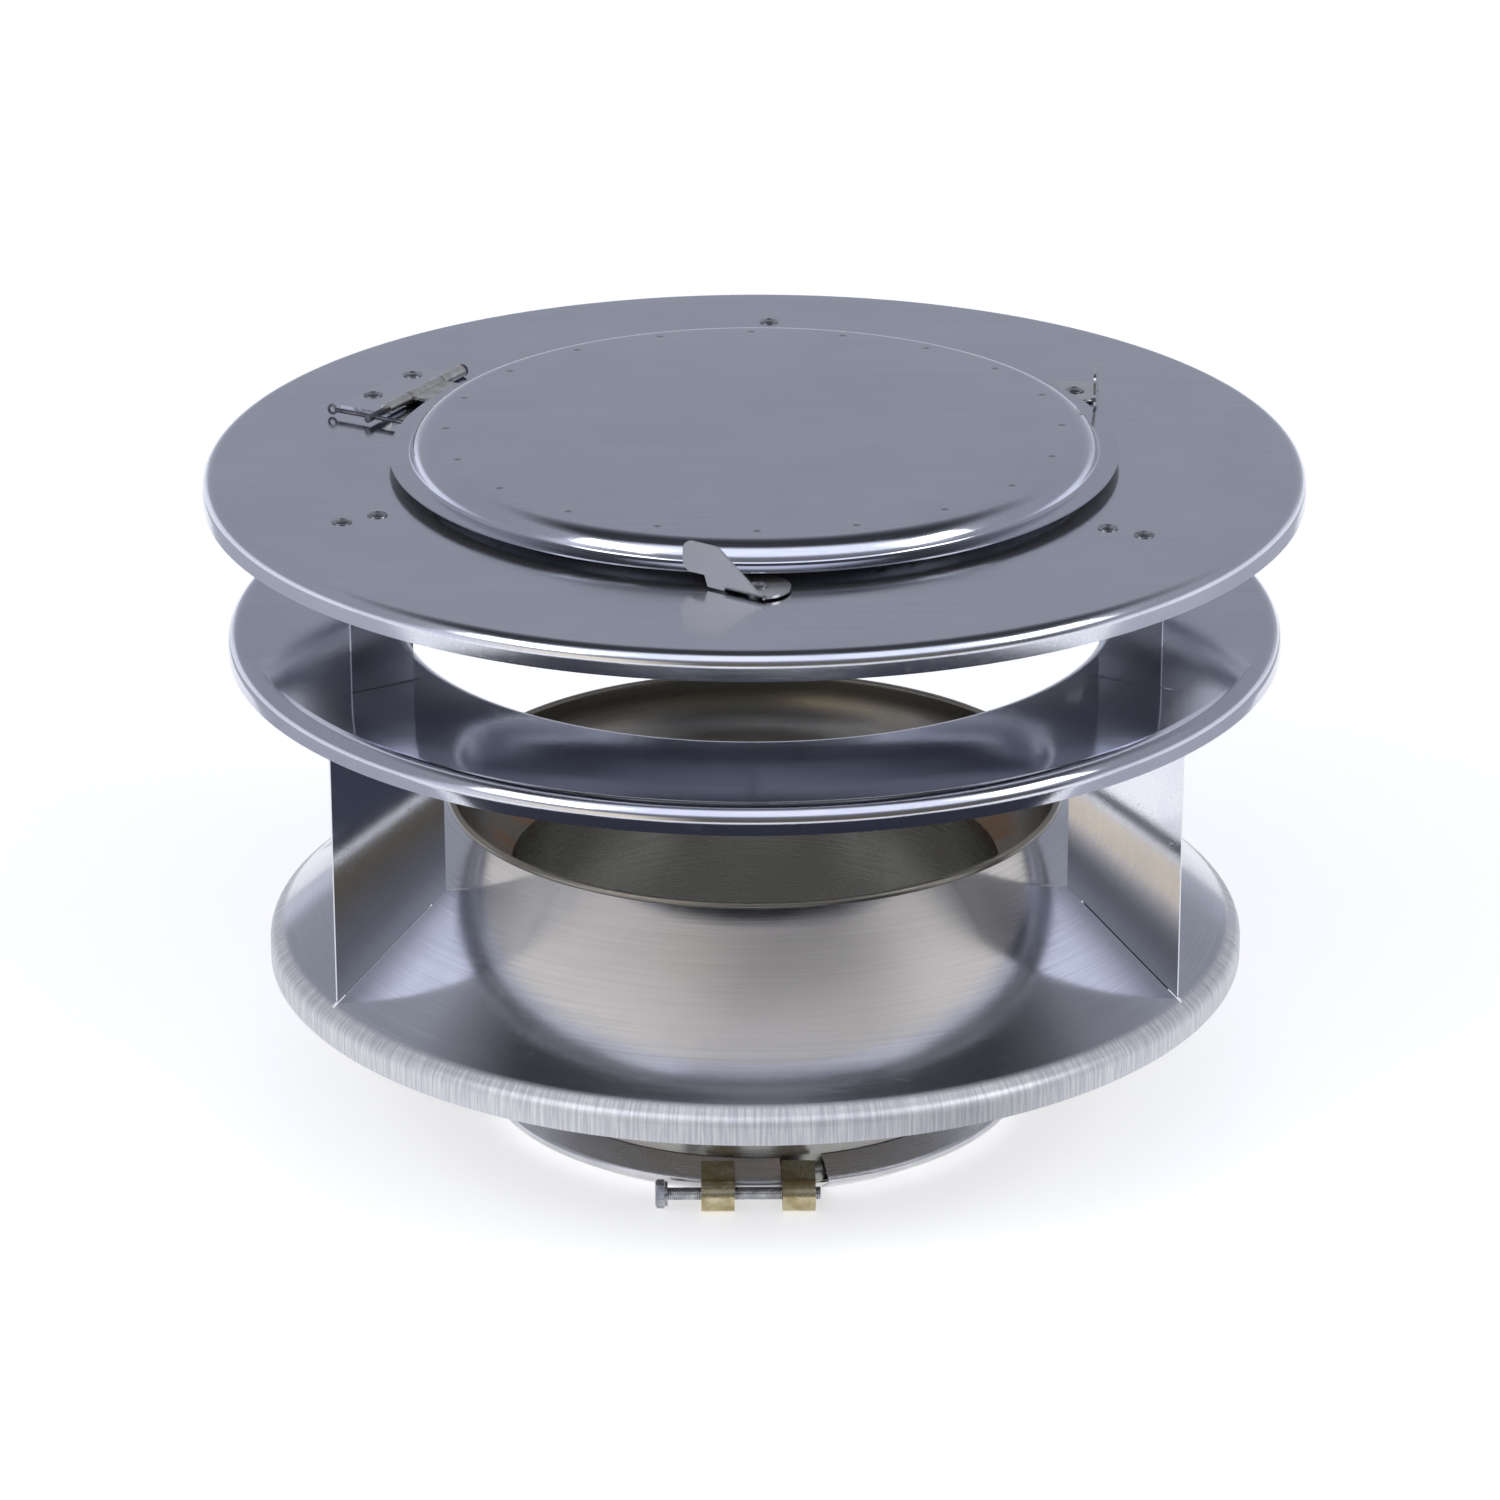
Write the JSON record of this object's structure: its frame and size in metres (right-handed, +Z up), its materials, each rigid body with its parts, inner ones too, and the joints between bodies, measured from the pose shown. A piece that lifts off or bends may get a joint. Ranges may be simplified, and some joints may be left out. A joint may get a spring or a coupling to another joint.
{
  "type": "chimney rain cap",
  "caption": "Stainless rain cap for a round flue: conical skirt with bowl throat, middle ring and top plate on radial struts, hinged sweeping lid with turn latches, clamp band.",
  "frame": {"origin": "centre of the plane that the clamp band's lower edge lies in, on the cap's axis", "axes": "+Z up along the flue's axis; -Y is the side of the clamp bolt; +X is to the right of it, seen from outside"},
  "size_m": [0.4399, 0.44, 0.2935],
  "materials": {
    "polished_sheet": "polished sheet with a faint grain",
    "satin_sheet": "satin mill finish",
    "strut_sheet": "bright polished sheet",
    "fastener_steel": "plain steel",
    "tinted_strap": "heat tinted from spot welding"
  },
  "bodies": {
    "cap": {"base_pipe": "satin_sheet", "throat": "satin_sheet", "skirt": "polished_sheet", "strut_back": "strut_sheet", "strut_left": "strut_sheet", "strut_right": "strut_sheet", "middle_ring": "polished_sheet", "top_plate": "polished_sheet", "strut_rivets": "fastener_steel", "plate_leaf": "fastener_steel", "leaf_rivets": "fastener_steel", "hinge_pin": "fastener_steel", "split_pin": "fastener_steel", "latch_rivets": "fastener_steel", "latch_washers": "fastener_steel", "clamp_band": "satin_sheet", "ear_left": "tinted_strap", "ear_right": "tinted_strap", "ear_bush": "tinted_strap", "ear_nut": "tinted_strap"},
    "lid": {"lid_dome": "polished_sheet", "lid_hoop": "satin_sheet", "lid_leaf": "fastener_steel"},
    "latch_front": {"latch_front": "strut_sheet"},
    "latch_right": {"latch_right": "strut_sheet"},
    "bolt_washer": {"bolt_washer": "fastener_steel"},
    "clamp_bolt": {"clamp_bolt": "fastener_steel"}
  },
  "joints": [
    {"name": "lid_hinge", "type": "hinge", "parent": "cap", "child": "lid", "pos_m": [-0.1351, 0.078, 0.2788], "axis": [-0.5, -0.866, 0], "range_deg": [0, 160]},
    {"name": "latch_front_turn", "type": "hinge", "parent": "cap", "child": "latch_front", "pos_m": [0, -0.153, 0.2774], "axis": [0, 0, 1], "range_deg": [-15, 90]},
    {"name": "latch_right_turn", "type": "hinge", "parent": "cap", "child": "latch_right", "pos_m": [0.1325, 0.0765, 0.2774], "axis": [0, 0, 1], "range_deg": [-15, 90]},
    {"name": "bolt_feed", "type": "slide", "parent": "cap", "child": "bolt_washer", "axis": [1, 0, 0], "range_m": [0, 0.013]},
    {"name": "bolt_turn", "type": "hinge", "parent": "bolt_washer", "child": "clamp_bolt", "pos_m": [0, -0.118, 0.00738], "axis": [1, 0, 0], "range_deg": [0, 5850]}
  ],
  "couplings": [
    {"joint": "bolt_turn", "follows": "bolt_feed", "rad_per_m": 7854}
  ]
}
